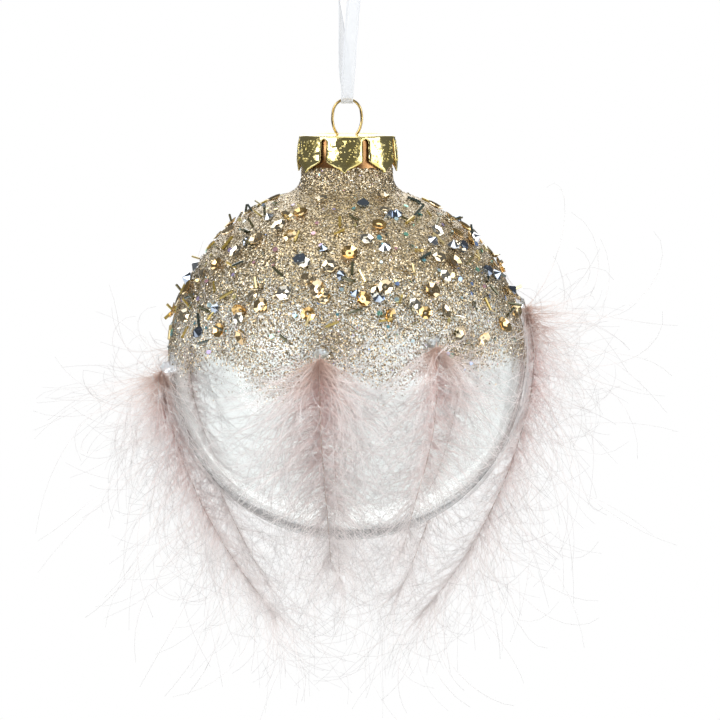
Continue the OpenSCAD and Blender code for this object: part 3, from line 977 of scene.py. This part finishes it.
def extras(count, low, high, tilt, draws):
    """More pieces, thrown loosely over a band of heights in millimetres."""
    height = draws.uniform(low, high, count) * MM
    azimuth = draws.uniform(-math.pi, math.pi, count)
    return on_ball(azimuth, height, np.full(count, LOOSE_SEAT), tilt, draws)


def turned(outline, steps, axis=(0, 0, 1)):
    """A small shape with a bore, spun from a closed outline of (x, z) points."""
    bm = bmesh.new()
    spin_round(bm, outline, True, steps, axis)
    bmesh.ops.remove_doubles(bm, verts=bm.verts, dist=0.001)
    bmesh.ops.recalc_face_normals(bm, faces=bm.faces)
    return triangles_of(bm)


def cup_shape():
    return turned([(0.2, 0.0), (0.5, 0.02), (1.0, 0.3), (1.0, 0.38), (0.5, 0.12), (0.2, 0.1)], 8)


def hex_shape():
    return turned([(0.2, 0.1), (0.62, 0.0), (1.0, 0.24), (1.0, 0.32), (0.62, 0.1), (0.2, 0.2)], 6)


def bead_shape():
    """A bugle bead: a six-sided tube along x, one unit long on each side."""
    return turned([(-1, 0.08), (-1, 0.2), (1, 0.2), (1, 0.08)], 6, (1, 0, 0))


def stone_shape():
    """A pointed stone with eight facets, a thin girdle and a flat back."""
    bm = bmesh.new()
    bmesh.ops.create_cone(bm, cap_ends=True, segments=8, radius1=1, radius2=0.1, depth=0.75)
    bmesh.ops.translate(bm, verts=bm.verts, vec=(0, 0, 0.6))
    base = [f for f in bm.faces if f.normal.z < -0.9]
    girdle = bmesh.ops.extrude_face_region(bm, geom=base)["geom"]
    low = [g for g in girdle if isinstance(g, bmesh.types.BMVert)]
    bmesh.ops.translate(bm, verts=low, vec=(0, 0, -0.22))
    bmesh.ops.delete(bm, geom=base, context="FACES_ONLY")
    bmesh.ops.recalc_face_normals(bm, faces=bm.faces)
    return triangles_of(bm)


def spread(name, node, shape, size, material, tints, more, vary=0.12):
    """One kind of trim: the frame's own pieces and the loose ones, as one piece on the ball."""
    draws = np.random.default_rng(sum(map(ord, name)))
    frames, places = [np.concatenate(pair) for pair in zip(islands(node), more)]
    sizes = size * draws.uniform(1 - vary, 1 + vary, len(places))
    faces, points = placed(shape, frames, places, sizes)
    colours = np.array(tints)[draws.integers(0, len(tints), len(places))]
    colours = colours * draws.uniform(0.85, 1.1, (len(places), 1))
    piece = new_piece(name, repeated(name, faces, points, colours), "ball", material)
    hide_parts(node)


def standing(frames, places):
    """Turns lying beads so that they stand out of the coat, leaning at random."""
    out = frames[..., 2]
    along = unit(out + 0.7 * frames[..., 0])
    side = unit(np.cross(out, along))
    return np.stack([along, side, np.cross(along, side)], -1), places + 0.9 * MM * out


def bugles(lying, upright):
    """Lying and standing beads together, for the loose part of a kind of bead."""
    return [np.concatenate(pair) for pair in zip(lying, standing(*upright))]


def add_trim():
    draws = np.random.default_rng(33)
    sequin = tinted("metallic_sequin", 1.0, 0.12, 0.3)
    glossy = tinted("glossy_bead", 0.6, 0.12, 0.8)
    mirror = tinted("mirror_stone", 1.0, 0.05, 1.0)
    film = tinted("iridescent_flake", 0.7, 0.15, 0.6)
    spread("gold_cup_sequins", "cup_sequins", cup_shape(), 1.7 * MM, sequin,
           [(0.85, 0.58, 0.24), (0.8, 0.62, 0.36), (0.9, 0.72, 0.46)],
           extras(34, 6, 35, 0.45, draws))
    spread("hex_sequins_pale", "hex_sequins", hex_shape(), 1.7 * MM, sequin,
           [(0.86, 0.74, 0.52), (0.8, 0.7, 0.52), (0.92, 0.88, 0.76)],
           extras(26, 6, 34, 0.5, draws))
    spread("mirror_stones", "pointed_stones", stone_shape(), 1.35 * MM, mirror,
           [(0.42, 0.5, 0.62), (0.72, 0.77, 0.84), (0.26, 0.32, 0.42)],
           extras(26, 8, 34, 0.5, draws))
    spread("gold_bugles", "gold_beads", bead_shape(), 1.5 * MM, glossy,
           [(0.55, 0.4, 0.1), (0.4, 0.3, 0.07), (0.8, 0.66, 0.34)],
           bugles(extras(16, 6, 36, 0.25, draws), extras(20, 10, 34, 0.3, draws)), 0.25)
    spread("olive_bugles", "olive_beads", bead_shape(), 1.4 * MM, glossy,
           [(0.1, 0.1, 0.05), (0.16, 0.14, 0.06), (0.06, 0.08, 0.07)],
           bugles(extras(30, 6, 36, 0.25, draws), extras(46, 8, 35, 0.3, draws)), 0.3)
    spread("iridescent_hexes", "iridescent_flakes", cone_shape(6, 1, 0.15), 0.52 * MM, film,
           COLOURED, extras(150, 2, 37, 0.3, draws), 0.3)


add_trim()

# ---- feathers

# Azimuth, root latitude, latitude where it leaves the ball, heading at its tip, length past
# that latitude in millimetres, then the barbs' number, length in millimetres and outward fan,
# and how far the barbs at the root are swept towards the tip
FEATHERS = {
    "front": (-8, 7, 30, 24, 26, 850, 46, (-32, 36), 36),
    "front_right": (28, 10, 30, 26, 22, 520, 36, (-22, 40), 36),
    "right": (92, 19, 12, 42, 56, 780, 37, (-60, 88), 8),
    "back_right": (140, 10, 18, 38, 48, 480, 30, (-40, 60), 20),
    "back": (185, 8, 22, 34, 44, 390, 32, (-40, 50), 20),
    "back_left": (243, 5, 20, 35, 42, 480, 30, (-40, 60), 20),
    "left": (279, -1, 14, 42, 54, 780, 37, (-60, 88), 4),
}
QUILL_R = BALL_R + 2 * MM
# Corners of the space that the down fills
FAR_REACH = np.array([[-69.5, -61.5, -167.5], [73.5, 65.5, 0]]) * MM
BARB_RINGS = 12
BARBULES = 58
# Share of barbs that run out to long wisps, and the longest of those
WISPY = 0.22
LONGEST = 48 * MM
# How much barbs curl each on its own and by the clump, and how many a clump holds
OWN_CURL = 0.085
CLUMP_CURL = 0.045
CLUMP = 7
BARB_R = 0.054 * MM
BARBULE_R = (0.018 * MM, 0.007 * MM)
BARBULE_LENGTH = (0.7, 2.0)
QUILL_STEPS = 40
PINK = np.array([0.91, 0.74, 0.71])
PALE = np.array([0.945, 0.91, 0.9])
# The grey that the barbs fade to at their wisps is painted shade on thin white fibre.
WISP_PAINTED_SHADE = np.array([0.62, 0.61, 0.61])
BROWN = np.array([0.60, 0.43, 0.30])


def feather_line(feather, share):
    """Places, ways along, sideways and outwards, at shares of a feather's length."""
    azimuth, root, leave, tip, rest = feather[:5]
    root, leave, tip, rest = math.radians(root), math.radians(leave), math.radians(tip), rest * MM
    first = QUILL_R * (root + leave)
    s = share * (first + rest)
    latitude = root - s / QUILL_R
    bend = (tip - leave) / rest
    late = leave + bend * (s - first)
    early = s < first
    heading = np.where(early, -latitude, late)
    r = np.where(early, QUILL_R * np.cos(latitude),
                 QUILL_R * math.cos(leave) - (math.cos(leave) - np.cos(late)) / bend)
    z = np.where(early, QUILL_R * np.sin(latitude),
                 -QUILL_R * math.sin(leave) - (np.sin(late) - math.sin(leave)) / bend)
    a = math.radians(azimuth - 90)
    ray = np.array([math.cos(a), math.sin(a), 0])
    side = np.array([-math.sin(a), math.cos(a), 0])
    c, d = np.cos(heading)[:, None], np.sin(heading)[:, None]
    places = BALL_MID + r[:, None] * ray + z[:, None] * UP
    return places, -d * ray - c * UP, np.broadcast_to(side, places.shape), c * ray - d * UP


def clear_of_ball(points, gap):
    """Moves points that would lie in the glass out to a gap above it."""
    away = points - BALL_MID
    distance = np.linalg.norm(away, axis=-1, keepdims=True)
    return BALL_MID + away * np.maximum(1, (BALL_R + gap) / distance)


def inside_reach(lines):
    """Shortens the few barbs that would pass the down's furthest reach."""
    roots = lines[:, :1]
    grown = lines - roots
    room = np.where(grown > 0, FAR_REACH[1] - roots, FAR_REACH[0] - roots)
    share = np.divide(room, grown, out=np.ones_like(room), where=np.abs(grown) > 0.01 * MM)
    return roots + grown * np.clip(share.min((1, 2)), 0.1, 1)[:, None, None]


def barb_lines(feather, draws):
    """Lines, colours and root shares of a feather's barbs, out to their wisps."""
    count, reach, fan, sweep = feather[5:9]
    share = np.sort(draws.random(count) ** 1.6) * 0.97 + 0.02
    places, along, side, out = feather_line(feather, share)
    hand = np.where(draws.random(count) < 0.5, -1.0, 1.0)[:, None]
    clump = np.repeat(draws.normal(size=(count // CLUMP + 1, 3)), CLUMP, axis=0)[:count]
    swept = 12 + sweep * np.exp(-share / 0.07) + 45 * share**2
    forward = np.radians(swept + draws.normal(size=count) * 17)[:, None]
    lift = np.radians(draws.uniform(*fan, count))[:, None]
    way = np.sin(forward) * along + np.cos(forward) * (
        hand * np.cos(lift) * side + np.sin(lift) * out)
    length = reach * MM * (0.36 + 0.4 * draws.random(count)) * (1 - 0.3 * share**2)
    length = np.where(draws.random(count) < WISPY, np.minimum(1.9 * length, LONGEST), length)
    droop = draws.uniform(0.0, 0.11, count)[:, None]
    curl = draws.normal(size=(count, 3)) * OWN_CURL + clump * CLUMP_CURL
    lines = [places]
    for _ in range(BARB_RINGS - 1):
        way = unit(way + droop * (0.8 * along - 0.7 * UP) + np.cross(curl, way))
        curl = 1.06 * curl + draws.normal(size=(count, 3)) * 0.014
        lines.append(lines[-1] + way * (length / (BARB_RINGS - 1))[:, None])
    lines = clear_of_ball(inside_reach(np.stack(lines, 1)), 0.8 * MM)
    t = np.linspace(0, 1, BARB_RINGS)[None, :, None]
    near = np.clip(1 - 2.6 * t, 0, 1)
    base = PINK + (PALE - PINK) * np.clip(1.5 * share - 0.2, 0, 1)[:, None, None]
    base = base + (BROWN - base) * (np.clip(0.16 - share, 0, 0.15) * 4)[:, None, None]
    # Towards their tips the barbs fade into the painted grey shade.
    colours = near * base + (1 - near) * (PALE + (WISP_PAINTED_SHADE - PALE) * np.clip(2 * t - 0.9, 0, 1))
    return lines, colours * draws.uniform(0.93, 1.05, (count, 1, 1)), share


def add_plume(name, feather, soft, draws):
    """A feather's barbs, each with its fringe of barbules."""
    lines, colours, share = barb_lines(feather, draws)
    count = len(lines)
    taper = np.linspace(1, 0.45, BARB_RINGS) * draws.uniform(0.75, 1.25, (count, 1))
    faces, points, ring = bent(tube_shape(3, BARB_RINGS), lines, BARB_R * taper)
    barbs = repeated(f"{name}_barbs", faces, points, colours[:, ring], smooth=True)
    barb = np.repeat(np.arange(count), BARBULES)
    at = draws.uniform(0.03, 0.9, len(barb)) ** 2.0 * (BARB_RINGS - 1)
    i = np.minimum(at.astype(int), BARB_RINGS - 2)
    f = (at - i)[:, None]
    roots = lines[barb, i] * (1 - f) + lines[barb, i + 1] * f
    way = unit(lines[barb, i + 1] - lines[barb, i])
    around = unit(np.cross(way, draws.normal(size=way.shape)))
    long = draws.uniform(*BARBULE_LENGTH, (len(barb), 1))
    tips = roots + (way * 0.75 + around * 0.65) * long * MM
    fringe_lines = clear_of_ball(np.stack([roots, tips], 1), 0.6 * MM)
    thin = np.tile(BARBULE_R, (len(barb), 1)) * (1 - 0.6 * share[barb])[:, None]
    faces, points, _ = bent(cone_shape(3, 0, 1, 0.5), fringe_lines, thin)
    fringe = repeated(f"{name}_fringe", faces, points, colours[barb, i])
    plume = new_piece(f"{name}_barbs", barbs, "ball", soft)
    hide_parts(name)
    new_piece(f"{name}_fringe", fringe, "ball", soft)


def add_quill(name, feather, material):
    """A feather's shaft, thinner towards its tip."""
    share = np.linspace(0, 0.96, QUILL_STEPS)
    places, _, side, _ = feather_line(feather, share)
    radii = (0.13 * (1 - share) ** 0.8 + 0.05) * MM
    faces, points, _ = bent(tube_shape(8, QUILL_STEPS), places[None], radii[None], side[None])
    quill = new_piece(f"{name}_horn", repeated(f"{name}_horn", faces, points, smooth=True), "ball",
                      material)
    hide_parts(name)


def add_feathers():
    soft, hard = down("marabou_down", 0.45), horn()
    for i, (place, feather) in enumerate(FEATHERS.items()):
        draws = np.random.default_rng(100 + i)
        add_plume(f"plume_{place}", feather, soft, draws)
        add_quill(f"quill_{place}", feather, hard)


add_feathers()

# ---- glue

DROP_R = 1.1 * MM
DROP_LIFT = 0.9 * MM
DROP_FORM = np.array([1.1, 1.5, 1.15])


def add_glue():
    """A flattened, uneven drop over each quill's root."""
    bm = bmesh.new()
    bmesh.ops.create_icosphere(bm, subdivisions=4, radius=1)
    for v in bm.verts:
        v.co *= 1 + 0.22 * noise.noise(v.co * 1.7)
    drop = triangles_of(bm)
    draws = np.random.default_rng(8)
    azimuth = np.radians([f[0] for f in FEATHERS.values()])
    height = BALL_R * np.sin(np.radians([f[1] for f in FEATHERS.values()]))
    frames, places = on_ball(azimuth, height, np.full(len(azimuth), DROP_LIFT), 0.0, draws)
    frames = frames * DROP_FORM
    faces, points = placed(drop, frames, places, np.full(len(azimuth), DROP_R))
    drops = new_piece("glue_drops", repeated("glue_drops", faces, points, smooth=True), "ball",
                      clear_glue())
    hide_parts("glue_dabs")


add_glue()
